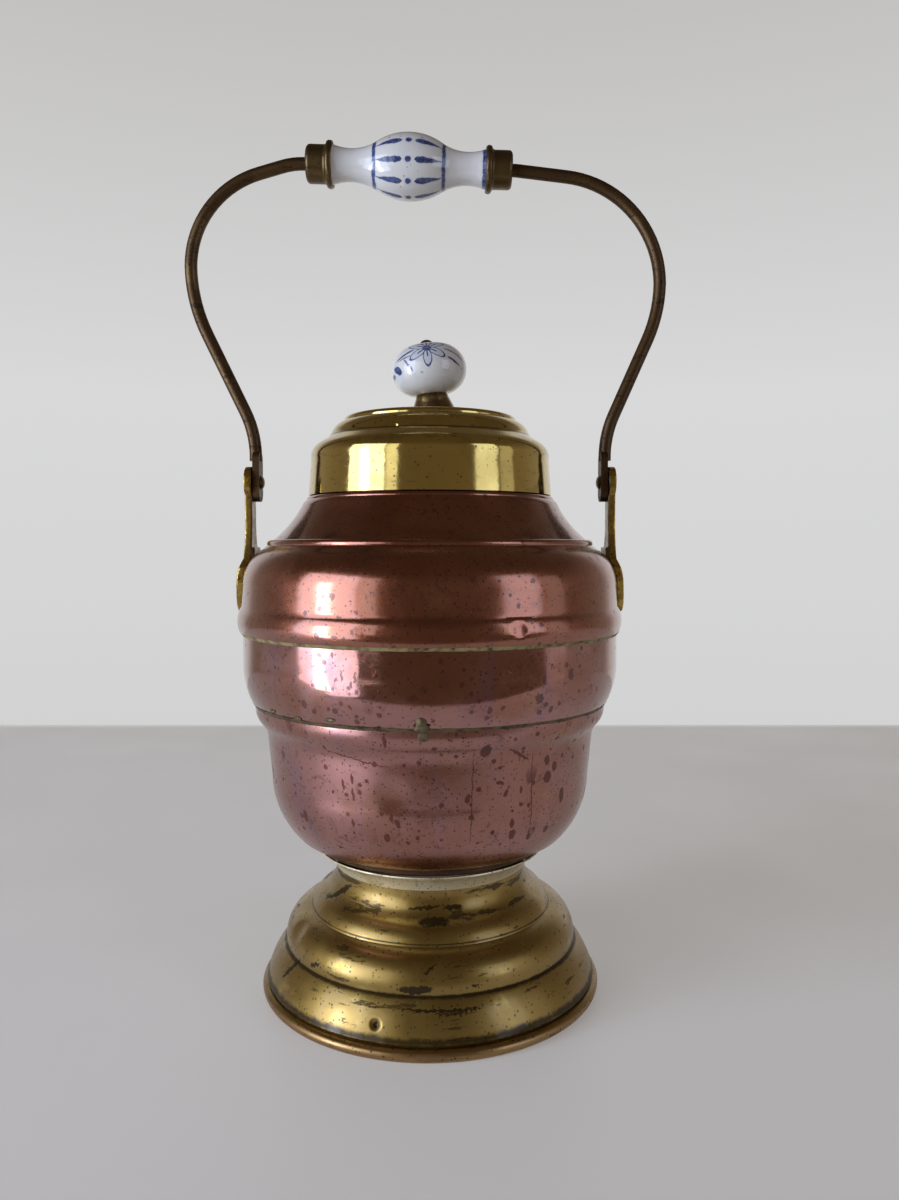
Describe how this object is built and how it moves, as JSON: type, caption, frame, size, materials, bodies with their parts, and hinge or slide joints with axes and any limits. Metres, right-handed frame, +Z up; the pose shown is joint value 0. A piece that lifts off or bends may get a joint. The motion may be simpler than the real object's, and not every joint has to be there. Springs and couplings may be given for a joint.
{
  "type": "lidded ember pot",
  "caption": "Footed copper and brass pot with a lift-off lid, porcelain knob, and a swinging bail handle with a porcelain grip.",
  "frame": {"origin": "on the pot's own axis, in the table plane under the foot; the bent bail bows about 2 mm further to the left than to the right", "axes": "+Z up along the pot's axis, +X along the bail's pivots towards the shorter arm of the bail, the front faces -Y"},
  "size_m": [0.2324, 0.1858, 0.412],
  "materials": {
    "copper": "tarnished copper, satin",
    "brass_foot": "tarnished, scratched",
    "brass_collar": "pale, satin",
    "brass_lid": "polished",
    "brass_aged": "brown, aged",
    "brass_cast": "rough cast, rubbed",
    "solder": "greenish, dull",
    "steel_wire": "drawn iron wire",
    "screw_metal": "dark, rusted",
    "porcelain": "glossy glaze with cobalt decoration"
  },
  "bodies": {
    "pot": {"foot": "brass_foot", "foot_rim_wire": "steel_wire", "foot_collar": "brass_collar", "bowl": "copper", "belly_band": "copper", "shoulder": "copper", "upper_seam_solder": "solder", "lower_seam_solder": "solder", "left_ear": "brass_cast", "right_ear": "brass_cast", "ear_rivets": "brass_cast", "pivot_rivets": "screw_metal"},
    "bail": {"bail_rod": "brass_aged", "left_ferrule": "brass_aged", "right_ferrule": "brass_aged"},
    "grip": {"grip": "porcelain"},
    "lid": {"lid": "brass_lid", "knob_base": "brass_foot", "knob": "porcelain", "knob_screw": "screw_metal", "knob_washer": "brass_aged", "knob_nut": "brass_aged"}
  },
  "joints": [
    {"name": "bail_swing", "type": "hinge", "parent": "pot", "child": "bail", "pos_m": [0, 0, 0.2463], "axis": [1, 0, 0], "range_deg": [-135, 135]},
    {"name": "grip_spin", "type": "hinge", "parent": "bail", "child": "grip", "pos_m": [-0.0098, 0, 0.3967], "axis": [0.9995, 0, -0.0314], "continuous": true},
    {"name": "lid_lift", "type": "slide", "parent": "pot", "child": "lid", "axis": [0, 0, 1], "range_m": [0, 0.06]}
  ]
}
